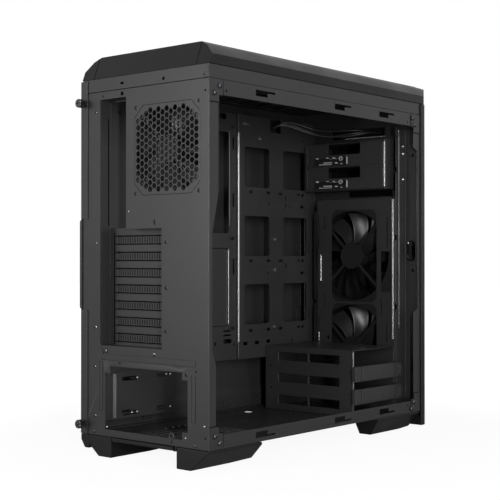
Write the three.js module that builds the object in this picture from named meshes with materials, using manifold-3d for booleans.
// A desktop computer tower with its near side panel taken off, as a set of separate pieces.
// Millimetres, +Z up. The rear of the case faces +Y, its front faces -Y, and the open side faces -X.
// Pieces are laid out from the steel body: X from its middle, Y from its rear face, Z from its floor.
// The last group moves them all, so that the whole case stands centred on the origin.

import * as THREE from 'three';
import { mergeVertices } from 'three/addons/utils/BufferGeometryUtils.js';
import Module from 'manifold-3d';

// Driving dimensions of the case
const bodyDepth = 457;
const sheet = 1.2;
const plasticWall = 2.4;
const fit = 0.3;
const overrun = 4;

// Overall shape of the plastic and of the side panel round the steel body
const footHeight = 26;
const coverHeight = 29.4;
const bezelDepth = 45;
const bezelOverhang = 2.4;
const panelBulge = 5.4;
const knobReach = 13;

// Standard sizes that a computer case is built around
const slotPitch = 20.32;
const slotCount = 7;
const ioWidth = 44.45;
const ioHeight = 158.75;
const fanDepth = 25;
const rearFanSize = 120;
const frontFanSize = 140;

// Round shapes and curved tubes are made of this many straight steps
const roundSteps = 32;
const smallRoundSteps = 12;
const cornerSteps = 2;
const knurlSteps = 20;
const weldDistance = 1e-3;

// The steel body is as wide as the row across its rear: the near post, the rear fan, the
// connector opening and the cable room behind the motherboard tray
const nearPostRoom = 7.8;
const fanSideGap = 8.1;
const connectorWidth = 46.6;
const recessSideGap = 4.3;
const cableRoom = 27.6;
const bodyWidth = nearPostRoom + rearFanSize + fanSideGap + sheet + connectorWidth + recessSideGap
  + cableRoom;
const halfWidth = bodyWidth / 2;
const inset = sheet + fit;

// Heights of the front stack: two fans with two drive bays above them
const fanFloorGap = 15;
const bayGap = 29;
const bayHeight = 34.8;
const frontHeadroom = 52.4;
const lowerFanZ = fanFloorGap + frontFanSize / 2;
const upperFanZ = lowerFanZ + frontFanSize + fit;
const bayPitch = bayHeight + fit;
const bayFloor = upperFanZ + frontFanSize / 2 + bayGap;
const bayTop = bayFloor + bayPitch + bayHeight;

// Heights of the rear stack: the power supply, the card slots and the connector opening
const powerOpeningFloor = 9;
const powerOpeningHeight = 79;
const recessGap = 25.2;
const slotRowMargin = 2.06;
const connectorMargin = 3.75;
const rearHeadroom = 26.6;
const recessFloor = powerOpeningFloor + powerOpeningHeight + recessGap;
const recessCeiling = recessFloor + slotCount * slotPitch + slotRowMargin;
const connectorCeiling = recessCeiling + ioHeight + connectorMargin;

const bodyHeight = Math.max(bayTop + frontHeadroom, connectorCeiling + rearHeadroom);

const wasm = await Module();
wasm.setup();

// A closed three.js geometry as a solid that can be joined and cut
function toSolid(geometry) {
  const bare = geometry.clone();
  bare.deleteAttribute('normal');
  bare.deleteAttribute('uv');
  const merged = mergeVertices(bare, weldDistance);
  return new wasm.Manifold(new wasm.Mesh({
    numProp: 3,
    vertProperties: new Float32Array(merged.getAttribute('position').array),
    triVerts: new Uint32Array(merged.getIndex().array),
  }));
}

function toGeometry(solid) {
  const mesh = solid.getMesh();
  const geometry = new THREE.BufferGeometry();
  geometry.setAttribute('position', new THREE.BufferAttribute(new Float32Array(mesh.vertProperties), 3));
  geometry.setIndex(new THREE.BufferAttribute(new Uint32Array(mesh.triVerts), 1));
  geometry.computeVertexNormals();
  return geometry;
}

function join(...geometries) {
  return toGeometry(geometries.map(toSolid).reduce((whole, next) => whole.add(next)));
}

function cut(geometry, ...tools) {
  return toGeometry(tools.map(toSolid).reduce((rest, tool) => rest.subtract(tool), toSolid(geometry)));
}

function common(first, second) {
  return toGeometry(toSolid(first).intersect(toSolid(second)));
}

// A box from its lowest and highest X, Y and Z
function block([x0, x1], [y0, y1], [z0, z1]) {
  const box = new THREE.BoxGeometry(x1 - x0, y1 - y0, z1 - z0);
  return box.translate((x0 + x1) / 2, (y0 + y1) / 2, (z0 + z1) / 2);
}

function outline(points) {
  return new THREE.Shape(points.map(([u, v]) => new THREE.Vector2(u, v)));
}

// A rectangle between two corners, with round corners where a radius is given
function rectangle([u0, u1], [v0, v1], radius = 0) {
  if (radius === 0) {
    return outline([[u0, v0], [u1, v0], [u1, v1], [u0, v1]]);
  }
  const shape = new THREE.Shape();
  shape.moveTo(u0 + radius, v0);
  shape.lineTo(u1 - radius, v0);
  shape.absarc(u1 - radius, v0 + radius, radius, -Math.PI / 2, 0);
  shape.lineTo(u1, v1 - radius);
  shape.absarc(u1 - radius, v1 - radius, radius, 0, Math.PI / 2);
  shape.lineTo(u0 + radius, v1);
  shape.absarc(u0 + radius, v1 - radius, radius, Math.PI / 2, Math.PI);
  shape.lineTo(u0, v0 + radius);
  shape.absarc(u0 + radius, v0 + radius, radius, Math.PI, Math.PI * 1.5);
  return shape;
}

function polygon(sides, u, v, radius, turn = 0) {
  return outline(Array.from({ length: sides }, (_, i) => {
    const angle = turn + i * Math.PI * 2 / sides;
    return [u + radius * Math.cos(angle), v + radius * Math.sin(angle)];
  }));
}

// An outline with holes, which the slab functions below cut out of the whole plate
function withHoles(rim, holes) {
  return { rim, holes };
}

function extrude(shape, [z0, z1], curveSegments) {
  return new THREE.ExtrudeGeometry(shape, { depth: z1 - z0, bevelEnabled: false, curveSegments })
    .translate(0, 0, z0);
}

// Plates of an even thickness. slabZ lies flat and its outline is in X and Y; slabY stands across
// the case and its outline is in X and Z; slabX stands along the case and its outline is in Y and Z.
function slabZ(shape, [z0, z1], curveSegments = cornerSteps) {
  const plate = extrude(shape.rim ?? shape, [z0, z1], curveSegments);
  const holes = shape.holes.map((hole) => extrude(hole, [z0 - overrun, z1 + overrun], curveSegments));
  return holes.length ? cut(plate, ...holes) : plate;
}

function slabY(shape, [y0, y1], curveSegments = cornerSteps) {
  return slabZ(shape, [0, y1 - y0], curveSegments).rotateX(Math.PI / 2).translate(0, y1, 0);
}

function slabX(shape, [x0, x1], curveSegments = cornerSteps) {
  const turn = new THREE.Matrix4().makeBasis(
    new THREE.Vector3(0, 1, 0), new THREE.Vector3(0, 0, 1), new THREE.Vector3(1, 0, 0));
  return slabZ(shape, [0, x1 - x0], curveSegments).applyMatrix4(turn).translate(x0, 0, 0);
}

function mirrored(geometry) {
  return toGeometry(toSolid(geometry).mirror([1, 0, 0]));
}

const caseGroup = new THREE.Group();

function add(name, geometry, material, parent = caseGroup) {
  const mesh = new THREE.Mesh(geometry, material);
  mesh.name = name;
  parent.add(mesh);
  return mesh;
}

const paintedSteel = new THREE.MeshStandardMaterial({ color: 0x2b2b2c, roughness: 0.55, metalness: 0.3 });
const blackPlastic = new THREE.MeshStandardMaterial({ color: 0x1d1d1f, roughness: 0.5, metalness: 0 });
const darkPlastic = new THREE.MeshStandardMaterial({ color: 0x141415, roughness: 0.45, metalness: 0 });
const greyPlastic = new THREE.MeshStandardMaterial({ color: 0x343436, roughness: 0.5, metalness: 0 });
const meshSteel = new THREE.MeshStandardMaterial({ color: 0x19191a, roughness: 0.6, metalness: 0.3 });
const blackMetal = new THREE.MeshStandardMaterial({ color: 0x202021, roughness: 0.35, metalness: 0.8 });
const cableJacket = new THREE.MeshStandardMaterial({ color: 0x0e0e0f, roughness: 0.4, metalness: 0 });
const filterCloth = new THREE.MeshStandardMaterial({ color: 0x0c0c0d, roughness: 0.95, metalness: 0 });

// Heights that several pieces share
const skirtHeight = 16.1;
const sideTop = bodyHeight - skirtHeight - fit;
const ceiling = bodyHeight - sheet;

// The motherboard tray stands between the main room and a narrow cable room by the far side
const trayFace = halfWidth - cableRoom;
const trayStep = 4;
const trayFrontFace = trayFace - trayStep;

// Rear panel, with a folded post at each side
const postTopWidth = 15.7;
const postMiddleWidth = 6;
const postBottomWidth = 12.3;
const postBendShares = [0.219, 0.26, 0.564, 0.654];
const rearFanDrop = 77.7;
const grilleWidth = 107.7;
const grilleHeight = 109;
const grilleCorner = 14;
const powerOpeningWidth = 141;
const powerOpeningX = -3.8;
const powerOpeningNotch = 9;

// Recess for the card slots and the connector opening, behind the rear panel
const recessDepth = 18;
const recessWidth = 107.7;
const recessFar = trayFace - recessSideGap;
const recessNear = recessFar - recessWidth;
const connectorNear = recessFar - connectorWidth;
const rearFanX = connectorNear - sheet - fanSideGap - rearFanSize / 2;
const rearFanZ = sideTop - rearFanDrop;

// The recess outline is an upright L; it can be grown outwards by the thickness of its walls
function recessOutline(growth) {
  return outline([
    [recessNear - growth, recessFloor - growth],
    [recessFar + growth, recessFloor - growth],
    [recessFar + growth, connectorCeiling + growth],
    [connectorNear - growth, connectorCeiling + growth],
    [connectorNear - growth, recessCeiling + growth],
    [recessNear - growth, recessCeiling + growth],
  ]);
}

function grilleOutline(growth) {
  const halfW = grilleWidth / 2 + growth;
  const halfH = grilleHeight / 2 + growth;
  const c = grilleCorner;
  return outline([
    [-halfW + c, -halfH], [halfW - c, -halfH], [halfW, -halfH + c], [halfW, halfH - c],
    [halfW - c, halfH], [-halfW + c, halfH], [-halfW, halfH - c], [-halfW, -halfH + c],
  ].map(([u, v]) => [u + rearFanX, v + rearFanZ]));
}

function powerOpening() {
  const left = powerOpeningX - powerOpeningWidth / 2;
  const right = powerOpeningX + powerOpeningWidth / 2;
  const floor = powerOpeningFloor;
  const top = floor + powerOpeningHeight;
  const n = powerOpeningNotch;
  return outline([
    [left + n, floor], [right, floor], [right, top - n], [right - n, top - n], [right - n, top],
    [left + n, top], [left + n, top - n], [left, top - n], [left, floor + n], [left + n, floor + n],
  ]);
}

// Captive screws hold the far panel through the rear panel
const knobRadius = 5.5;
const shankRadius = 1.8;
const shankReach = 6;
const screwInset = 4.6;
const screwEndGap = 13;
const screwHeights = { upper: sideTop - screwEndGap, lower: screwEndGap };
const screwX = halfWidth - screwInset;

function postOutline() {
  const [lowBend, lowBendTop, highBend, highBendTop] = postBendShares.map((share) => share * bodyHeight);
  return outline([
    [0, 0], [0, sideTop], [-postTopWidth, sideTop], [-postTopWidth, highBendTop],
    [-postMiddleWidth, highBend], [-postMiddleWidth, lowBendTop], [-postBottomWidth, lowBend],
    [-postBottomWidth, 0],
  ]);
}

const rearSheet = withHoles(rectangle([-halfWidth, halfWidth], [0, sideTop]), [
  recessOutline(0),
  grilleOutline(fit),
  powerOpening(),
  ...Object.values(screwHeights).map((z) => polygon(smallRoundSteps, screwX, z, shankRadius + fit)),
]);
add('rear_panel', join(
  slabY(rearSheet, [-sheet, 0]),
  slabX(postOutline(), [-halfWidth, -halfWidth + sheet]),
  slabX(postOutline(), [halfWidth - sheet, halfWidth]),
), paintedSteel);

// Honeycomb over the rear fan, with its holes drawn coarser than on the real sheet
const hexPitch = 14;
const hexShare = 0.86;
const hexRim = 5;

function honeycomb([u0, u1], [v0, v1], keep) {
  const rowPitch = hexPitch * Math.sqrt(3) / 2;
  const radius = hexShare * hexPitch / Math.sqrt(3);
  const holes = [];
  const columns = Math.floor((u1 - u0) / rowPitch);
  const rows = Math.floor((v1 - v0) / hexPitch);
  for (let i = 0; i <= columns; i += 1) {
    for (let j = 0; j <= rows; j += 1) {
      const u = (u0 + u1) / 2 + (i - columns / 2) * rowPitch;
      const v = (v0 + v1) / 2 + (j - rows / 2 + (i % 2) / 2) * hexPitch;
      if (keep(u, v, radius)) {
        holes.push(polygon(6, u, v, radius));
      }
    }
  }
  return holes;
}

function insideGrille(u, v, radius) {
  const across = Math.abs(u - rearFanX);
  const up = Math.abs(v - rearFanZ);
  const reach = radius + hexRim;
  return across + reach < grilleWidth / 2 && up + reach < grilleHeight / 2
    && across + up + reach * Math.SQRT2 < (grilleWidth + grilleHeight) / 2 - grilleCorner;
}

add('rear_fan_grille', slabY(withHoles(grilleOutline(0), honeycomb(
  [rearFanX - grilleWidth / 2, rearFanX + grilleWidth / 2],
  [rearFanZ - grilleHeight / 2, rearFanZ + grilleHeight / 2],
  insideGrille,
)), [-sheet, 0]), paintedSteel);

// Card frame: walls and a floor that close the recess, with the connector opening and the slots
const slotHeight = 12.6;
const slotSideGap = 13.4;
const slotNearGap = 2;
const topSlotDrop = 13.1;
const topSlotZ = recessCeiling - topSlotDrop;
const slotFar = recessFar - slotSideGap;
const slotNear = recessNear + slotNearGap;
const connectorGap = (connectorCeiling - recessCeiling - ioHeight) / 2;
const recessBack = -inset - recessDepth;

function slotZ(index) {
  return topSlotZ - index * slotPitch;
}

const cardFloor = withHoles(recessOutline(sheet), [
  rectangle([recessFar - ioWidth, recessFar - fit],
    [recessCeiling + connectorGap, connectorCeiling - connectorGap]),
  ...Array.from({ length: slotCount }, (_, i) => rectangle([slotNear, slotFar],
    [slotZ(i) - slotHeight / 2, slotZ(i) + slotHeight / 2])),
]);
add('card_frame', join(
  slabY(cardFloor, [recessBack, recessBack + sheet]),
  slabY(withHoles(recessOutline(sheet), [recessOutline(0)]), [recessBack, -inset]),
), paintedSteel);

// Vented slot covers lie on the inner side of the card frame, each with a folded screw tab
const slotCoverThickness = 1;
const slotCoverHeight = 18.4;
const slotCoverTab = 11;
const slotCoverOverlap = 4;
const ventCount = 11;
const ventShare = 0.5;
const ventHeightShare = 0.72;
const slotCoverFace = recessBack - fit;
const slotCoverNear = slotNear - slotCoverOverlap;
const slotCoverFar = slotFar + slotCoverOverlap;

function slotCover(index) {
  const z = slotZ(index);
  const pitch = (slotFar - slotNear) / ventCount;
  const vents = Array.from({ length: ventCount }, (_, i) => {
    const middle = slotNear + (i + 0.5) * pitch;
    return rectangle([middle - pitch * ventShare / 2, middle + pitch * ventShare / 2],
      [z - slotHeight * ventHeightShare / 2, z + slotHeight * ventHeightShare / 2]);
  });
  const heights = [z - slotCoverHeight / 2, z + slotCoverHeight / 2];
  return join(
    slabY(withHoles(rectangle([slotCoverNear, slotCoverFar], heights), vents),
      [slotCoverFace - slotCoverThickness, slotCoverFace]),
    block([slotCoverNear, slotCoverNear + slotCoverThickness],
      [slotCoverFace - slotCoverTab, slotCoverFace], heights),
  );
}

for (let i = 0; i < slotCount; i += 1) {
  add(`slot_cover_${i + 1}`, slotCover(i), paintedSteel);
}

// Floor, set inside the panels that stand round it, with air slots and two runners under it
const floorSlotCount = 10;
const floorSlotShare = 0.5;
const floorVentWidth = 46;
const floorVentBar = 4;
const floorVentNearShare = 0.07;
const floorVentFarShare = 0.33;
const floorHoleRadius = 7;
const floorHoleX = 72;
const floorHoleShare = 0.619;
const footInner = 56;
const footRunnerGap = 2.5;
const filterHeight = 4.4;
const runnerLip = 3;
const runnerLength = 150;
const runnerOuter = footInner - footRunnerGap;
const filterHalfWidth = runnerOuter - sheet - fit;
const runnerDrop = filterHeight + 2 * fit + sheet;

function floorSlots() {
  const near = -floorVentNearShare * bodyDepth;
  const far = -floorVentFarShare * bodyDepth;
  const pitch = (near - far) / floorSlotCount;
  const slots = [];
  for (let i = 0; i < floorSlotCount; i += 1) {
    const middle = far + (i + 0.5) * pitch;
    const depths = [middle - pitch * floorSlotShare / 2, middle + pitch * floorSlotShare / 2];
    slots.push(rectangle([-floorVentBar / 2 - floorVentWidth, -floorVentBar / 2], depths),
      rectangle([floorVentBar / 2, floorVentBar / 2 + floorVentWidth], depths));
  }
  return slots;
}

function runner(side) {
  const outer = side * runnerOuter;
  const inner = side * (runnerOuter - sheet);
  const lip = side * (runnerOuter - sheet - runnerLip);
  const along = [-runnerLength, -inset];
  return join(
    block([Math.min(outer, inner), Math.max(outer, inner)], along, [-runnerDrop, sheet]),
    block([Math.min(outer, lip), Math.max(outer, lip)], along, [-runnerDrop, -runnerDrop + sheet]),
  );
}

const floorSheet = withHoles(rectangle([-halfWidth + inset, halfWidth - inset],
  [-bodyDepth + inset, -inset]), [
  ...floorSlots(),
  polygon(smallRoundSteps, floorHoleX, -floorHoleShare * bodyDepth, floorHoleRadius),
]);
add('bottom_panel', join(slabZ(floorSheet, [0, sheet]), runner(-1), runner(1)), paintedSteel);

// Dust filter for the power supply, drawn out to the rear between its runners
const filterLength = 148;
const filterBar = 6;
const filterColumns = 5;
const filterRows = 7;
const filterMeshBar = 1.4;
const filterPull = 3;

function filterHoles() {
  const width = (2 * filterHalfWidth - 2 * filterBar) / filterColumns;
  const length = (filterLength - 2 * filterBar) / filterRows;
  const holes = [];
  for (let i = 0; i < filterColumns; i += 1) {
    for (let j = 0; j < filterRows; j += 1) {
      const u = -filterHalfWidth + filterBar + i * width;
      const v = -filterLength + filterBar + j * length;
      holes.push(rectangle([u + filterMeshBar / 2, u + width - filterMeshBar / 2],
        [v + filterMeshBar / 2, v + length - filterMeshBar / 2]));
    }
  }
  return holes;
}

add('psu_dust_filter', slabZ(withHoles(
  rectangle([-filterHalfWidth, filterHalfWidth], [-filterLength, filterPull - fit]), filterHoles(),
), [-filterHeight - fit, -fit]), blackPlastic);

// Top panel, a shallow steel lid with a skirt on all four sides and four banks of air slots
const lidSlotCount = 9;
const lidSlotShare = 0.45;
const lidBankCount = 4;
const lidBankWidth = 44;
const lidBankPitch = 48;
const lidVentNearShare = 0.08;
const lidVentFarShare = 0.82;

function lidSlots() {
  const near = -lidVentNearShare * bodyDepth;
  const far = -lidVentFarShare * bodyDepth;
  const pitch = (near - far) / lidSlotCount;
  const slots = [];
  for (let bank = 0; bank < lidBankCount; bank += 1) {
    const across = (bank - (lidBankCount - 1) / 2) * lidBankPitch;
    for (let i = 0; i < lidSlotCount; i += 1) {
      const middle = far + (i + 0.5) * pitch;
      slots.push(rectangle([across - lidBankWidth / 2, across + lidBankWidth / 2],
        [middle - pitch * lidSlotShare / 2, middle + pitch * lidSlotShare / 2]));
    }
  }
  return slots;
}

const lidRing = withHoles(rectangle([-halfWidth, halfWidth], [-bodyDepth, 0]), [
  rectangle([-halfWidth + sheet, halfWidth - sheet], [-bodyDepth + sheet, -sheet]),
]);
add('top_panel', join(
  slabZ(withHoles(rectangle([-halfWidth, halfWidth], [-bodyDepth, 0]), lidSlots()), [ceiling, bodyHeight]),
  slabZ(lidRing, [bodyHeight - skirtHeight, bodyHeight]),
), paintedSteel);

// Side rails, which take the hooks of the side panels in L-shaped slots
const frontPostWidth = 17;
const topRailHeight = 18.2;
const bottomRailHeight = 16.4;
const railLip = 12;
const hookStartShares = [0.185, 0.54, 0.77];
const hookLength = 23.3;
const hookHeight = 7.4;
const hookTail = 15;
const hookTailHeight = 2.4;
const hookInset = 5;

// An upper rail's hook slot has its tail along the top; a lower rail's is the same upside down
function hookSlot(start, top, direction) {
  const low = top - direction * hookHeight;
  const tailLow = top - direction * hookTailHeight;
  return outline([
    [start, top], [start - hookLength - hookTail, top], [start - hookLength - hookTail, tailLow],
    [start - hookLength, tailLow], [start - hookLength, low], [start, low],
  ]);
}

function sideRail([z0, z1], nearEnd, direction) {
  const slotEdge = direction > 0 ? z1 - hookInset : z0 + hookInset;
  const lipEdge = direction > 0 ? [z1 - sheet, z1] : [sheet + fit, 2 * sheet + fit];
  const along = [-bodyDepth + frontPostWidth + fit, -nearEnd - fit];
  const web = withHoles(rectangle(along, [z0, z1]),
    hookStartShares.map((share) => hookSlot(-share * bodyDepth, slotEdge, direction)));
  return join(
    slabX(web, [-halfWidth, -halfWidth + sheet]),
    block([-halfWidth, -halfWidth + railLip], along, lipEdge),
  );
}

const topRail = sideRail([sideTop - topRailHeight, sideTop], postTopWidth, 1);
const bottomRail = sideRail([0, bottomRailHeight], postBottomWidth, -1);
add('left_top_rail', topRail, paintedSteel);
add('right_top_rail', mirrored(topRail), paintedSteel);
add('left_bottom_rail', bottomRail, paintedSteel);
add('right_bottom_rail', mirrored(bottomRail), paintedSteel);

// Fan plate, behind the two front fans, with a forward flange on the open side
const fanPlateBack = 26.2;
const fanPlateNearMargin = 9.1;
const fanPlateFarMargin = 8.8;
const fanPlateTopGap = 14.3;
const fanPlateFlange = 17;
const fanX = -3.2;
const fanWindowWidthShare = 0.586;
const fanWindowHeightShare = 0.914;
const fanWindowCorner = 18;
const fanWindowShift = 5.8;
const strapWindowWidth = 22;
const strapWindowHeight = 60;
const strapWindowEdge = 3;
const strapMiddleShare = 0.333;
const fanPlateFace = -bodyDepth + fanPlateBack;
const fanPlateNear = fanX - frontFanSize / 2 - fanPlateNearMargin;
const fanPlateFar = fanX + frontFanSize / 2 - fanPlateFarMargin;
const fanPlateTop = bayFloor - fanPlateTopGap;

function fanWindow(z) {
  const middle = fanX - fanWindowShift;
  const halfW = frontFanSize * fanWindowWidthShare / 2;
  const halfH = frontFanSize * fanWindowHeightShare / 2;
  return rectangle([middle - halfW, middle + halfW], [z - halfH, z + halfH], fanWindowCorner);
}

const strapMiddle = (lowerFanZ + upperFanZ) / 2 + frontFanSize * strapMiddleShare;
const strapNear = fanPlateNear + strapWindowEdge;
add('fan_plate', join(
  slabY(withHoles(rectangle([fanPlateNear, fanPlateFar], [inset, fanPlateTop]), [
    fanWindow(lowerFanZ), fanWindow(upperFanZ),
    rectangle([strapNear, strapNear + strapWindowWidth],
      [strapMiddle - strapWindowHeight / 2, strapMiddle + strapWindowHeight / 2]),
  ]), [fanPlateFace - sheet, fanPlateFace]),
  block([fanPlateNear, fanPlateNear + sheet], [fanPlateFace - fanPlateFlange, fanPlateFace],
    [inset, fanPlateTop]),
), paintedSteel);

// Drive bay places, which the front panel, the bay cage and the bezel all follow
const bayWidth = 145;
const bayX = 1.3;
const bayNear = bayX - bayWidth / 2;
const bayFar = bayX + bayWidth / 2;

// Front panel, a steel frame that carries the fans, the bays and the bezel
const frontPostJogWidth = 6;
const frontPostJogShares = [0.322, 0.855];
const frontPostJogRise = 5;
const fanOpeningMargin = 2;
const innerFlangeFloor = 18;
const cableSlotWidth = 96;
const cableSlotHeight = 14;
const cableSlotRise = 9;
const frontSheetBack = -bodyDepth + sheet;
const innerFlangeX = Math.max(-fanPlateNear, bayFar + fit + sheet, -bayNear + fit + sheet,
  trayFrontFace + sheet) + fit + sheet;
const cableSlotFloor = bayTop + cableSlotRise;

function frontPostOutline() {
  const [jogLow, jogHigh] = frontPostJogShares.map((share) => share * bodyHeight);
  const wide = -bodyDepth + frontPostWidth;
  const narrow = -bodyDepth + frontPostJogWidth;
  return outline([
    [-bodyDepth, 0], [wide, 0], [wide, jogLow], [narrow, jogLow + frontPostJogRise],
    [narrow, jogHigh - frontPostJogRise], [wide, jogHigh], [wide, sideTop], [-bodyDepth, sideTop],
  ]);
}

const frontSheet = withHoles(rectangle([-halfWidth, halfWidth], [0, sideTop]), [
  rectangle([fanX - frontFanSize / 2 - fanOpeningMargin, fanX + frontFanSize / 2 + fanOpeningMargin],
    [fanFloorGap - fanOpeningMargin, upperFanZ + frontFanSize / 2 + fanOpeningMargin]),
  rectangle([bayNear - fit, bayFar + fit], [bayFloor - fit, bayTop + fit]),
  rectangle([-cableSlotWidth / 2, cableSlotWidth / 2], [cableSlotFloor, cableSlotFloor + cableSlotHeight]),
]);

function innerFlange(side) {
  const xs = [side * innerFlangeX, side * (innerFlangeX - sheet)];
  return block([Math.min(...xs), Math.max(...xs)], [-bodyDepth, fanPlateFace],
    [innerFlangeFloor, sideTop - topRailHeight]);
}

add('front_panel', join(
  slabY(frontSheet, [-bodyDepth, frontSheetBack]),
  slabX(frontPostOutline(), [-halfWidth, -halfWidth + sheet]),
  slabX(frontPostOutline(), [halfWidth - sheet, halfWidth]),
  innerFlange(-1),
  innerFlange(1),
), paintedSteel);

// Motherboard tray, stepped towards the main room in its front part, with holes for cables
const trayFloor = 77;
const trayCornerRadius = 5;
const trayFrontGap = 12;
const cableHoleSize = 58;
const standoffRadius = 2.6;
const standoffHeight = 6.5;
const trayTop = sideTop - sheet - fit;
const trayDepth = bodyDepth - trayFrontGap;

// Places on the tray, as shares of its depth from the rear face and of its top edge's height
const trayStepShare = 0.598;
const processorHoleDepthShares = [0.562, 0.225];
const processorHoleHeightShares = [0.6, 0.936];
const cableHoleDepthShares = [0.627, 0.829];
const cableHoleFloorShares = [0.294, 0.525, 0.758];
const leadNotchDepthShares = [0.818, 0.76];
const leadNotchFloorShare = 0.952;
const standoffDepthShares = [0.081, 0.337, 0.576];
const standoffHeightShares = [0.285, 0.583, 0.952];
const trayStepDepth = trayDepth * trayStepShare;

const boardSheet = withHoles(rectangle([-trayStepDepth, -inset], [trayFloor, trayTop]), [
  rectangle(processorHoleDepthShares.map((share) => -share * trayDepth),
    processorHoleHeightShares.map((share) => share * trayTop), trayCornerRadius),
]);
const [notchFar, notchNear] = leadNotchDepthShares.map((share) => -share * trayDepth);
const notchBottom = leadNotchFloorShare * trayTop;
const cableSheet = withHoles(outline([
  [-trayDepth, trayFloor], [-trayStepDepth, trayFloor], [-trayStepDepth, trayTop],
  [notchNear, trayTop], [notchNear, notchBottom], [notchFar, notchBottom], [notchFar, trayTop],
  [-trayDepth, trayTop],
]), cableHoleDepthShares.flatMap((depthShare) => cableHoleFloorShares.map((floorShare) => {
  const near = -depthShare * trayDepth;
  const low = floorShare * trayTop;
  return rectangle([near - cableHoleSize, near], [low, low + cableHoleSize], trayCornerRadius);
})));

function standoff(depth, z) {
  return slabX(polygon(6, -depth, z, standoffRadius), [trayFace - standoffHeight, trayFace + sheet]);
}

add('motherboard_tray', join(
  slabX(boardSheet, [trayFace, trayFace + sheet]),
  slabX(cableSheet, [trayFrontFace, trayFrontFace + sheet]),
  block([trayFrontFace, trayFace + sheet], [-trayStepDepth - sheet, -trayStepDepth],
    [trayFloor, trayTop]),
  ...standoffDepthShares.flatMap((depthShare) => standoffHeightShares.map(
    (heightShare) => standoff(depthShare * trayDepth, heightShare * trayTop))),
), paintedSteel);

// Drive plate under the tray, beside the power supply, with four screw slots
const drivePlate = { near: 24, length: 114, low: 16, slotLength: 15, slotHeight: 3.4 };
const drivePlateSlotInset = 18;
const drivePlateTop = trayFloor - fit;
const drivePlateFar = drivePlate.near + drivePlate.length;

function drivePlateSlots() {
  const { near, low, slotLength, slotHeight: height } = drivePlate;
  const starts = [near + drivePlateSlotInset, drivePlateFar - drivePlateSlotInset - slotLength];
  const levels = [low + drivePlateSlotInset / 2, drivePlateTop - drivePlateSlotInset / 2];
  return starts.flatMap((start) => levels.map((z) => rectangle(
    [-start - slotLength, -start], [z - height / 2, z + height / 2])));
}

add('drive_plate', slabX(withHoles(
  rectangle([-drivePlateFar, -drivePlate.near], [drivePlate.low, drivePlateTop]), drivePlateSlots(),
), [trayFace, trayFace + sheet]), paintedSteel);

// Hard drive cage for two trays, open to the near side, with three rows of windows in its rear wall
const cageFlangeGap = 3;
const cageLength = 103.5;
const cageFloorGap = 11;
const cageTopRoom = 20.4;
const trayPitch = 31.3;
const trayCount = 2;
const windowHeight = 12;
const windowLength = 53;
const windowBar = 3;
const ledgeDepth = 4;
const ledgeThickness = 1.6;
const cageFront = fanPlateFace + fit;
const cageBack = cageFront + cageLength;
const cageNear = -innerFlangeX + cageFlangeGap;
const cageFar = trayFrontFace - fit;
const cageTop = cageFloorGap + trayCount * trayPitch + cageTopRoom;
const cageMiddle = (cageNear + cageFar) / 2;

function cageWindows(face) {
  const windows = [];
  for (let row = 0; row <= trayCount; row += 1) {
    const low = cageFloorGap + row * trayPitch;
    for (const side of [-1, 1]) {
      const start = cageMiddle + side * windowBar / 2;
      const end = start + side * windowLength;
      windows.push(block([Math.min(start, end), Math.max(start, end)],
        [face - overrun, face + overrun], [low, low + windowHeight]));
    }
  }
  return windows;
}

// Each tray rests on a ledge along both walls, level with the top of the windows under it
function ledgeFloor(level) {
  return cageFloorGap + level * trayPitch + windowHeight;
}

function cageLedges() {
  const ledges = [];
  for (let level = 0; level < trayCount; level += 1) {
    const z = ledgeFloor(level);
    ledges.push(
      block([cageNear, cageFar], [cageFront, cageFront + sheet + ledgeDepth], [z, z + ledgeThickness]),
      block([cageNear, cageFar], [cageBack - sheet - ledgeDepth, cageBack], [z, z + ledgeThickness]),
    );
  }
  return ledges;
}

const cageShell = cut(
  block([cageNear, cageFar], [cageFront, cageBack], [inset, cageTop]),
  block([cageNear - overrun, cageFar - sheet], [cageFront + sheet, cageBack - sheet],
    [inset + sheet, cageTop - sheet]),
  ...cageWindows(cageBack),
);
add('hdd_cage', join(cageShell, ...cageLedges()), paintedSteel);

// Drive trays: a grip outside the cage, and a cradle of floor and side walls that rests on the ledges
const trayGripDepth = 6.5;
const trayGripOverhangs = { front: 4.2, rear: 9 };
const trayGripGap = 4;
const trayGripHeight = 20.8;
const trayGripDrop = 4.9;
const trayEndGap = 20.7;
const trayWall = 2.2;
const cradleFloorHole = 80;
const gripGroove = 1.6;
const gripEar = 14;

function driveTray(level) {
  const low = ledgeFloor(level) + ledgeThickness + fit;
  const gripLow = low - trayGripDrop;
  const high = gripLow + trayGripHeight;
  const sides = [cageFront + sheet + fit, cageBack - sheet - fit];
  const gripOuter = cageNear - trayGripGap - trayGripDepth;
  const cradleEnd = cageFar - trayEndGap;
  const middle = (sides[0] + sides[1]) / 2;
  const cradle = cut(
    block([cageNear - trayGripGap, cradleEnd], sides, [low, high]),
    block([cageNear - trayGripGap - overrun, cradleEnd + overrun],
      [sides[0] + trayWall, sides[1] - trayWall], [low + trayWall, high + overrun]),
    block([cageNear + overrun, cradleEnd - 2 * trayWall],
      [middle - cradleFloorHole / 2, middle + cradleFloorHole / 2], [low - overrun, high + overrun]),
  );
  const gripSpan = [cageFront - trayGripOverhangs.front, cageBack + trayGripOverhangs.rear];
  const grip = block([gripOuter, cageNear - trayGripGap], gripSpan, [gripLow, high]);
  const grooves = [gripSpan[0] + gripEar, gripSpan[1] - gripEar].map((y) => block(
    [gripOuter - overrun, gripOuter + gripGroove], [y - gripGroove / 2, y + gripGroove / 2],
    [gripLow - overrun, high + overrun]));
  return cut(join(cradle, grip), ...grooves);
}

add('drive_tray_lower', driveTray(0), greyPlastic);
add('drive_tray_upper', driveTray(1), greyPlastic);

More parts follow.
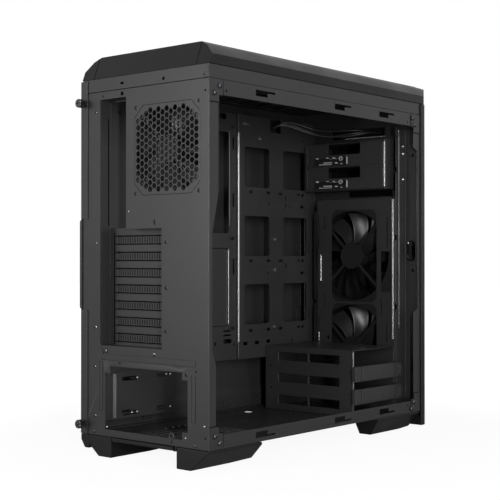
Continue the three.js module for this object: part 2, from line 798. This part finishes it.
// Upper bay cage and the two bay frames in it, each with a window and a sliding latch at its rear
const bayRear = 37;
const bayFrontReach = 29;
const bayWall = 1.6;
const bayWindow = { width: 58.4, height: 16.5, middle: 1, drop: 1.2 };
const latch = { length: 60, height: 11, depth: 5.4, middle: 23.2, rise: 2.2, plate: 1.6 };
const bayBack = -bodyDepth + bayRear;
const bayFront = -bodyDepth - bayFrontReach;
const bayCageShelf = bayFloor - fit - sheet;

add('bay_cage', join(
  block([bayNear - fit - sheet, bayNear - fit], [frontSheetBack + fit, bayBack - sheet],
    [bayCageShelf, bayTop + sheet]),
  block([bayFar + fit, bayFar + fit + sheet], [frontSheetBack + fit, bayBack - sheet],
    [bayCageShelf, bayTop + sheet]),
  block([bayNear - fit - sheet, bayFar + fit + sheet], [frontSheetBack + fit, bayBack - sheet],
    [bayCageShelf, bayCageShelf + sheet]),
), paintedSteel);

function bayFrame(level) {
  const low = bayFloor + level * bayPitch;
  const high = low + bayHeight;
  const { width, height, middle, drop } = bayWindow;
  return cut(
    block([bayNear, bayFar], [bayFront, bayBack], [low, high]),
    block([bayNear + bayWall, bayFar - bayWall], [bayFront - overrun, bayBack - bayWall],
      [low + bayWall, high - bayWall]),
    block([middle - width / 2, middle + width / 2], [bayBack - bayWall - overrun, bayBack + overrun],
      [high - drop - height, high - drop]),
  );
}

function bayLatch(level) {
  const low = bayFloor + level * bayPitch + latch.rise;
  const ends = [latch.middle - latch.length / 2, latch.middle + latch.length / 2];
  return join(
    block(ends, [bayBack + fit, bayBack + fit + latch.plate], [low, low + latch.height]),
    block([ends[0], ends[0] + latch.plate], [bayBack + fit, bayBack + fit + latch.depth],
      [low, low + latch.height]),
    block(ends, [bayBack + fit, bayBack + fit + latch.depth], [low, low + latch.plate]),
  );
}

add('bay_frame_lower', bayFrame(0), greyPlastic);
add('bay_frame_upper', bayFrame(1), greyPlastic);
add('bay_latch_lower', bayLatch(0), darkPlastic);
add('bay_latch_upper', bayLatch(1), darkPlastic);

// Fans: a square frame with a motor seat on four struts, and a rotor that turns in it
const fanBoreShare = 0.955;
const fanCornerShare = 0.06;
const fanHubShare = 0.16;
const strutWidth = 4;
const strutDepth = 3;
const hubDepthShare = 0.62;
const bladeThickness = 1.8;
const bladeTiltDegrees = 39;
const bladeChordShare = 0.96;
const bladeRootShare = 0.25;
const bladeTipGap = 2.5;

// A fan stands on its own axis, which runs along Y; its struts are at the end named by strutSide
function fanFrame(size, strutSide) {
  const bore = size * fanBoreShare / 2;
  const hub = size * fanHubShare;
  const half = size / 2;
  const body = slabY(withHoles(rectangle([-half, half], [-half, half], size * fanCornerShare),
    [polygon(roundSteps, 0, 0, bore)]), [-fanDepth / 2, fanDepth / 2]);
  const near = strutSide * (fanDepth / 2);
  const deep = strutSide * (fanDepth / 2 - strutDepth);
  const span = [Math.min(near, deep), Math.max(near, deep)];
  const strut = (turn) => block([-bore - strutWidth / 2, bore + strutWidth / 2], span,
    [-strutWidth / 2, strutWidth / 2]).rotateY(turn);
  return join(body, slabY(polygon(roundSteps, 0, 0, hub), span), strut(Math.PI / 4), strut(-Math.PI / 4));
}

function fanRotor(size, blades, strutSide) {
  const hub = size * fanHubShare;
  const tip = size * fanBoreShare / 2 - bladeTipGap;
  const depth = fanDepth * hubDepthShare;
  const bladeTilt = THREE.MathUtils.degToRad(bladeTiltDegrees);
  const chord = depth / Math.sin(bladeTilt) * bladeChordShare;
  const shift = -strutSide * (strutDepth + fit) / 2;
  const hubEnds = [shift - strutSide * depth / 2, strutSide * (fanDepth / 2 - strutDepth - fit)];
  const overlap = hub * bladeRootShare;
  const blade = (turn) => new THREE.BoxGeometry(tip - hub + overlap, chord, bladeThickness)
    .rotateX(strutSide * bladeTilt)
    .translate((tip + hub - overlap) / 2, shift, 0)
    .rotateY(turn);
  const spins = Array.from({ length: blades }, (_, i) => i * Math.PI * 2 / blades);
  return join(slabY(polygon(roundSteps, 0, 0, hub), [Math.min(...hubEnds), Math.max(...hubEnds)]),
    ...spins.map(blade));
}

function addFan(name, size, blades, strutSide, [x, y, z]) {
  const group = new THREE.Group();
  group.position.set(x, y, z);
  caseGroup.add(group);
  add(`${name}_frame`, fanFrame(size, strutSide), darkPlastic, group);
  add(`${name}_rotor`, fanRotor(size, blades, strutSide), darkPlastic, group);
}

const frontBladeCount = 9;
const rearBladeCount = 7;
addFan('rear_fan', rearFanSize, rearBladeCount, 1, [rearFanX, -inset - fanDepth / 2, rearFanZ]);
const frontFanY = fanPlateFace - sheet - fit - fanDepth / 2;
addFan('front_fan_lower', frontFanSize, frontBladeCount, 1, [fanX, frontFanY, lowerFanZ]);
addFan('front_fan_upper', frontFanSize, frontBladeCount, 1, [fanX, frontFanY, upperFanZ]);

// Far side panel: a pressed skin with a raised field, and a rear flange with a finger notch
const panelGap = 0.9;
const panelTopGap = 1.2;
const panelFlange = 12;
const fieldMargin = 18;
const fieldSlope = 14;
const notchShares = [0.352, 0.607];
const notchWidth = 9;
const notchBow = 2.4;
const panelInner = halfWidth + panelGap;
const panelOuter = panelInner + sheet;
const panelLow = fit;
const panelHigh = bodyHeight - panelTopGap;
const panelRear = fit + sheet;

// A raised field: a slab whose four sides lean inwards as it rises from x0 to x1
function raisedField([y0, y1], [z0, z1], [x0, x1], slope) {
  const box = new THREE.BoxGeometry(x1 - x0, y1 - y0, z1 - z0);
  const position = box.getAttribute('position');
  for (let i = 0; i < position.count; i += 1) {
    if (position.getX(i) > 0) {
      position.setY(i, position.getY(i) - Math.sign(position.getY(i)) * slope);
      position.setZ(i, position.getZ(i) - Math.sign(position.getZ(i)) * slope);
    }
  }
  return box.translate((x0 + x1) / 2, (y0 + y1) / 2, (z0 + z1) / 2);
}

const fieldY = [-bodyDepth + fieldMargin, -fieldMargin];
const fieldZ = [panelLow + fieldMargin, panelHigh - fieldMargin];
const [notchLow, notchHigh] = notchShares.map((share) => share * bodyHeight);
const panelSolid = join(
  block([panelInner, panelOuter], [-bodyDepth + fit, panelRear], [panelLow, panelHigh]),
  block([panelOuter - panelFlange, panelOuter], [fit, panelRear], [panelLow, panelHigh]),
  raisedField(fieldY, fieldZ, [panelInner + sheet / 2, panelOuter + panelBulge], fieldSlope),
  raisedField([-notchWidth, panelRear + notchWidth], [notchLow, notchHigh],
    [panelInner + sheet / 2, panelOuter + notchBow], notchBow),
);
add('right_side_panel', cut(
  panelSolid,
  raisedField(fieldY.map((y, i) => y + (i ? -sheet : sheet)), fieldZ.map((z, i) => z + (i ? -sheet : sheet)),
    [panelInner - overrun, panelOuter + panelBulge - sheet], fieldSlope),
  block([panelOuter - panelFlange - overrun, panelInner], [0, panelRear + notchWidth + overrun],
    [notchLow, notchHigh]),
  block([panelInner - overrun, panelOuter + panelBulge], [panelRear, panelRear + notchWidth + overrun],
    [notchLow - overrun, notchHigh + overrun]),
  ...Object.values(screwHeights).map((z) => slabY(polygon(smallRoundSteps, screwX, z, shankRadius + fit),
    [-overrun, panelRear + overrun])),
), paintedSteel);

// Thumb screws: a knurled knob with a neck and a shank that passes through both sheets
const knobDepthShare = 0.62;
const knurlShare = 0.92;
const neckRadius = 3.6;

function thumbScrew(z) {
  const knobBack = knobReach * (1 - knobDepthShare);
  const knobPoints = Array.from({ length: knurlSteps * 2 }, (_, i) => {
    const angle = i * Math.PI / knurlSteps;
    const radius = knobRadius * (i % 2 ? knurlShare : 1);
    return [screwX + radius * Math.cos(angle), z + radius * Math.sin(angle)];
  });
  return join(
    slabY(outline(knobPoints), [knobBack, knobReach]),
    slabY(polygon(smallRoundSteps, screwX, z, neckRadius), [panelRear + fit, knobBack + fit]),
    slabY(polygon(smallRoundSteps, screwX, z, shankRadius), [-shankReach, panelRear + 2 * fit]),
  );
}

add('thumb_screw_upper', thumbScrew(screwHeights.upper), blackMetal);
add('thumb_screw_lower', thumbScrew(screwHeights.lower), blackMetal);

// Feet, bevelled on their outer side: the rear pair stand by themselves, the front pair run on
// under the bezel
const footBevelTop = 3;
const rearFootBottom = 79;
const rearFootLength = 96;
const rearFootToe = 13;
const rearFootFlat = 70;
const rearFootRise = 1.4;
const frontFootInner = 67;
const frontFootBottom = 86;
const frontFootHeelShare = 0.79;
const frontFootSlope = 16;
const frontFootLevelShare = 0.952;
const frontFootToeShare = 0.92;

function footSection(inner, bottomOuter) {
  return outline([
    [-inner, -footHeight], [-inner, -fit], [-halfWidth, -fit], [-halfWidth, -fit - footBevelTop],
    [-bottomOuter, -footHeight],
  ]);
}

function foot(inner, bottomOuter, sideProfile) {
  const across = slabY(footSection(inner, bottomOuter), [-bodyDepth, 0]);
  return common(across, slabX(outline(sideProfile), [-halfWidth - overrun, -inner + overrun]));
}

const rearFoot = foot(footInner, rearFootBottom, [
  [0, -footHeight], [0, -fit], [-rearFootLength, -fit],
  [-rearFootLength - rearFootToe, -footHeight + rearFootRise], [-rearFootFlat, -footHeight],
]);
const frontFootHeel = -frontFootHeelShare * bodyDepth;
const frontFoot = foot(frontFootInner, frontFootBottom, [
  [frontFootHeel, -footHeight], [frontFootHeel + frontFootSlope, -fit], [-bodyDepth, -fit],
  [-bodyDepth, -footHeight * frontFootToeShare], [-frontFootLevelShare * bodyDepth, -footHeight],
]);
add('foot_rear_left', rearFoot, blackPlastic);
add('foot_rear_right', mirrored(rearFoot), blackPlastic);
add('foot_front_left', frontFoot, blackPlastic);
add('foot_front_right', mirrored(frontFoot), blackPlastic);

// The plastic at the front is as wide as the body at its rear edge, and narrows towards the front.
// The bezel and the top cover share this plan.
const bezelSideDepth = 9;
const bezelFrontLean = 22;
const bezelBack = -bodyDepth - fit;
const bezelFront = -bodyDepth - bezelDepth;

function frontPlan(half, rear, growth) {
  return outline([
    [-half + growth, rear], [-half + growth, bezelBack - bezelSideDepth],
    [-half + bezelFrontLean + growth, bezelFront + growth],
    [half - bezelFrontLean - growth, bezelFront + growth],
    [half - growth, bezelBack - bezelSideDepth], [half - growth, rear],
  ]);
}

// Top cover in three pieces: a wide middle and a strip along each side
const coverOverhang = 1.2;
const coverBand = 11.4;
const coverSlopeWidth = 12;
const coverSlopeHeight = 12;
const coverShoulder = 11.5;
const coverRearLean = 11;
const coverVentEdge = 6;
const coverStripWidth = 21;
const coverStripGap = 0.9;
const coverNoseDrop = 13;
const coverNoseLength = 26;
const coverNoseBend = { back: 9, drop: 2.6 };
const coverFloor = bodyHeight + fit;
const coverTop = bodyHeight + coverHeight;
const coverHalf = halfWidth + coverOverhang;
const coverFrontEnd = -bodyDepth - bezelDepth + fit;

function coverProfile(growth) {
  const front = coverFrontEnd + growth;
  const top = coverTop - growth;
  return outline([
    [-growth, coverFloor - overrun], [-growth, coverFloor], [-coverRearLean - growth, top],
    [front + coverNoseLength, top], [front + coverNoseBend.back, top - coverNoseBend.drop],
    [front, top - coverNoseDrop], [front, coverFloor - overrun],
  ]);
}

function coverSection(growth) {
  const half = coverHalf - growth;
  const slope = coverFloor + coverBand;
  const side = [
    [half, coverFloor - overrun], [half, slope - growth / 2],
    [half - coverSlopeWidth, slope + coverSlopeHeight - growth],
    [half - coverSlopeWidth - coverShoulder, coverTop - growth],
  ];
  return outline([...side, ...side.map(([u, v]) => [-u, v]).reverse()]);
}

const coverLength = [coverFrontEnd - overrun, overrun];

function coverForm(growth) {
  const long = slabX(coverProfile(growth), [-coverHalf, coverHalf]);
  const across = slabY(coverSection(growth), coverLength);
  const plan = slabZ(frontPlan(coverHalf, overrun, growth), [coverFloor - overrun, coverTop]);
  return common(common(long, across), plan);
}

const coverOuter = coverForm(0);
const coverInner = coverForm(plasticWall);
const belowCover = block([-coverHalf - overrun, coverHalf + overrun],
  [coverFrontEnd - overrun, overrun], [coverFloor - 2 * overrun, coverFloor]);
const coverShell = cut(coverOuter, coverInner, belowCover);

function coverPart([x0, x1]) {
  return common(coverShell, block([x0, x1], [coverFrontEnd - overrun, overrun],
    [coverFloor - overrun, coverTop + overrun]));
}

// Air slots across the flat top of the cover, over those of the lid
function coverVents() {
  const flatHalf = coverHalf - coverSlopeWidth - coverShoulder;
  const bankWidth = (2 * flatHalf - coverVentEdge) / lidBankCount - coverVentEdge;
  const near = -lidVentNearShare * bodyDepth;
  const far = -lidVentFarShare * bodyDepth;
  const pitch = (near - far) / lidSlotCount / 2;
  const vents = [];
  for (let bank = 0; bank < lidBankCount; bank += 1) {
    const start = -flatHalf + coverVentEdge + bank * (bankWidth + coverVentEdge);
    for (let i = 0; i < 2 * lidSlotCount; i += 1) {
      const middle = far + (i + 0.5) * pitch;
      vents.push(block([start, start + bankWidth],
        [middle - pitch * lidSlotShare / 2, middle + pitch * lidSlotShare / 2],
        [coverTop - plasticWall - overrun, coverTop + overrun]));
    }
  }
  return vents;
}

const stripEdge = coverHalf - coverStripWidth;
const stripPart = coverPart([-coverHalf - overrun, -stripEdge]);
add('top_cover', cut(coverPart([-stripEdge + coverStripGap, stripEdge - coverStripGap]), ...coverVents()),
  blackPlastic);
add('top_strip_left', stripPart, blackPlastic);
add('top_strip_right', mirrored(stripPart), blackPlastic);

// Front bezel: a plastic shell whose sides lean in towards the front
const bezelDrop = 21;
const bezelCorner = 14;
const meshSideMargin = 8;
const meshFloor = 22;
const meshTopGap = 8.3;
const socketRowGap = 14.8;
const socketRowHeight = 26;
const socketRowFloor = bayTop + socketRowGap;
const socketRow = { halfWidth: 56, low: socketRowFloor, high: socketRowFloor + socketRowHeight };
const bezelHalf = halfWidth + bezelOverhang;
const bezelTop = bodyHeight - fit;
const meshHalfWidth = bezelHalf - bezelFrontLean - meshSideMargin;
const meshTop = bayFloor - meshTopGap;

const bezelSide = outline([
  [bezelBack + overrun, -bezelDrop], [bezelBack + overrun, bezelTop], [bezelFront - overrun, bezelTop],
  [bezelFront - overrun, -bezelDrop + bezelCorner], [bezelFront, -bezelDrop + bezelCorner],
  [bezelFront + bezelCorner, -bezelDrop],
]);
const bezelOuter = common(slabZ(frontPlan(bezelHalf, bezelBack, 0), [-bezelDrop, bezelTop]),
  slabX(bezelSide, [-bezelHalf - overrun, bezelHalf + overrun]));
const bezelHollow = slabZ(frontPlan(bezelHalf, bezelBack + overrun, plasticWall),
  [-bezelDrop + bezelCorner, bezelTop - plasticWall]);

function throughFront([x0, x1], [z0, z1]) {
  return block([x0, x1], [bezelFront - overrun, bezelFront + plasticWall + overrun], [z0, z1]);
}

add('front_bezel', cut(
  bezelOuter,
  bezelHollow,
  throughFront([-meshHalfWidth, meshHalfWidth], [meshFloor, meshTop]),
  throughFront([bayNear - fit, bayFar + fit], [bayFloor - fit, bayTop + fit]),
  throughFront([-socketRow.halfWidth, socketRow.halfWidth], [socketRow.low, socketRow.high]),
), blackPlastic);

// Front mesh, set into the bezel, with its holes drawn coarser than on the real sheet
const meshThickness = 2;
const meshRim = 8;
const meshHexPitch = 24;

function meshHoles() {
  const radius = hexShare * meshHexPitch / Math.sqrt(3);
  const rowPitch = meshHexPitch * Math.sqrt(3) / 2;
  const columns = Math.floor((meshHalfWidth - meshRim - radius) / rowPitch);
  const middle = (meshFloor + meshTop) / 2;
  const reach = (meshTop - meshFloor) / 2 - meshRim - radius;
  const holes = [];
  for (let i = -columns; i <= columns; i += 1) {
    const offset = Math.abs(i % 2) / 2;
    const rows = Math.floor(reach / meshHexPitch - offset);
    for (let j = -rows - 2 * offset; j <= rows; j += 1) {
      holes.push(polygon(6, i * rowPitch, middle + (j + offset) * meshHexPitch, radius));
    }
  }
  return holes;
}

add('front_mesh', slabY(withHoles(
  rectangle([-meshHalfWidth + fit, meshHalfWidth - fit], [meshFloor + fit, meshTop - fit]), meshHoles(),
), [bezelFront + fit, bezelFront + fit + meshThickness]), meshSteel);

// Front filter, a sheet of fine cloth behind the mesh that laps the bezel round its opening
const clothThickness = 2;
const clothLap = 3;
const clothFront = bezelFront + plasticWall + fit;
add('front_filter', slabY(rectangle([-meshHalfWidth - clothLap, meshHalfWidth + clothLap],
  [meshFloor - clothLap, meshTop + clothLap]), [clothFront, clothFront + clothThickness]), filterCloth);

// Bay covers, shallow trays that close the two bays in the bezel
function bayCover(level) {
  const low = bayFloor + level * bayPitch;
  const back = bayFront - fit;
  return cut(
    block([bayNear, bayFar], [bezelFront + fit, back], [low, low + bayHeight]),
    block([bayNear + plasticWall, bayFar - plasticWall], [bezelFront + fit + plasticWall, back + overrun],
      [low + plasticWall, low + bayHeight - plasticWall]),
  );
}

add('bay_cover_lower', bayCover(0), blackPlastic);
add('bay_cover_upper', bayCover(1), blackPlastic);

// Socket block with the buttons, two flat sockets and two round ones, behind the bezel
const socketDepth = 30;
const flatSocket = { width: 13.4, height: 6, depth: 14, places: [-26, -45] };
const roundSocket = { radius: 2.2, depth: 14, places: [33, 46] };
const powerButton = { radius: 9.5, length: 9, proud: fit, travel: 3, x: 0 };
const resetButton = { radius: 3, length: 9, proud: fit, travel: 2, x: 19 };
const socketFront = bezelFront + fit;
const socketMiddle = (socketRow.low + socketRow.high) / 2;

function flatSocketCut(x) {
  return block([x - flatSocket.width / 2, x + flatSocket.width / 2],
    [socketFront - overrun, socketFront + flatSocket.depth],
    [socketMiddle - flatSocket.height / 2, socketMiddle + flatSocket.height / 2]);
}

function roundSocketCut(x) {
  return slabY(polygon(smallRoundSteps, x, socketMiddle, roundSocket.radius),
    [socketFront - overrun, socketFront + roundSocket.depth]);
}

function buttonBore(button, steps) {
  return slabY(polygon(steps, button.x, socketMiddle, button.radius + fit),
    [socketFront - overrun, socketFront + button.length - button.proud + button.travel + fit]);
}

function buttonBody(button, steps) {
  return slabY(polygon(steps, button.x, socketMiddle, button.radius),
    [socketFront - button.proud, socketFront - button.proud + button.length]);
}

const socketBlock = block([-socketRow.halfWidth + fit, socketRow.halfWidth - fit],
  [socketFront, socketFront + socketDepth], [socketRow.low + fit, socketRow.high - fit]);
add('socket_block', cut(
  socketBlock,
  ...flatSocket.places.map(flatSocketCut),
  ...roundSocket.places.map(roundSocketCut),
  buttonBore(powerButton, roundSteps),
  buttonBore(resetButton, smallRoundSteps),
), darkPlastic);
add('power_button', buttonBody(powerButton, roundSteps), blackPlastic);
add('reset_button', buttonBody(resetButton, smallRoundSteps), blackPlastic);

// Leads of the front sockets: from the socket block through the slot in the front panel, in a
// shallow sag behind the bays, over the tray's notch and down in the cable room to their plugs.
// The points are chosen by hand.
const leadRadius = 1.1;
const leadSides = 8;
const leadSteps = 72;
const leadRoutes = [
  [
    [-31, -471.4, 415], [-31, -462, 413], [-31, -450, 411], [-30, -434, 409.4], [-24, -420, 407],
    [-8, -411, 404.5], [14, -404, 403.2], [34, -395, 407], [50, -384, 414], [62, -370, 420.5],
    [70, -358, 421], [79, -352, 416.5], [86, -353, 411.5], [89.5, -356, 404], [90.5, -360, 392],
    [91, -364, 370], [91, -365, 335], [91, -365, 290], [91, -365, 240], [91, -365, 180], [91, -365, 112],
  ],
  [
    [-38, -471.4, 415], [-38, -462, 413], [-38, -450, 410], [-37, -433, 408], [-29, -418, 404.6],
    [-12, -408, 401.4], [10, -399, 401.8], [30, -389, 405], [46, -377, 411], [59, -363, 417.5],
    [69, -352, 418.5], [79, -347.5, 415], [85.5, -348, 410], [88.5, -350.5, 402.5], [89, -353.5, 390],
    [89, -356.5, 368], [89, -357, 330], [89, -357, 280], [89, -357, 225], [89, -357, 165], [89, -357, 112],
  ],
  [
    [-24, -471.4, 415], [-24, -462, 413.6], [-23.6, -452, 412.6], [-22, -439, 412.4], [-15, -428, 412],
    [0, -419, 411.6], [18, -411, 411.4], [37, -402, 413.6], [52, -391, 419], [63, -377, 424],
    [71, -364, 423.4], [79, -357, 417.4], [86.5, -359, 412.5], [90.5, -362.5, 405], [92.5, -367, 393],
    [93, -371.5, 371], [93, -373, 335], [93, -373, 290], [93, -373, 240], [93, -373, 180], [93, -373, 112],
  ],
];

function lead(points) {
  const curve = new THREE.CatmullRomCurve3(points.map((point) => new THREE.Vector3(...point)));
  return new THREE.ExtrudeGeometry(polygon(leadSides, 0, 0, leadRadius),
    { extrudePath: curve, steps: leadSteps });
}

// A plug hangs at the end of its lead, thinner towards the lead
const plugWidth = 6;
const plugDepth = 7;
const plugLength = 14;
const plugNeckLength = 4;
const plugNeckWidth = 4;

function leadPlug([x, y, z]) {
  const top = z - fit;
  const shoulder = top - plugNeckLength;
  return join(
    block([x - plugWidth / 2, x + plugWidth / 2], [y - plugDepth / 2, y + plugDepth / 2],
      [top - plugLength, shoulder]),
    block([x - plugNeckWidth / 2, x + plugNeckWidth / 2], [y - plugNeckWidth / 2, y + plugNeckWidth / 2],
      [shoulder - fit, top]),
  );
}

leadRoutes.forEach((points, i) => {
  add(`front_lead_${i + 1}`, lead(points), cableJacket);
  add(`lead_plug_${i + 1}`, leadPlug(points[points.length - 1]), darkPlastic);
});

// The case stands on its feet, centred on the origin
const lowestX = -bezelHalf;
const highestX = panelOuter + panelBulge;
const group = new THREE.Group();
caseGroup.position.set(-(lowestX + highestX) / 2, (bodyDepth + bezelDepth - knobReach) / 2, footHeight);
group.add(caseGroup);

export default group;
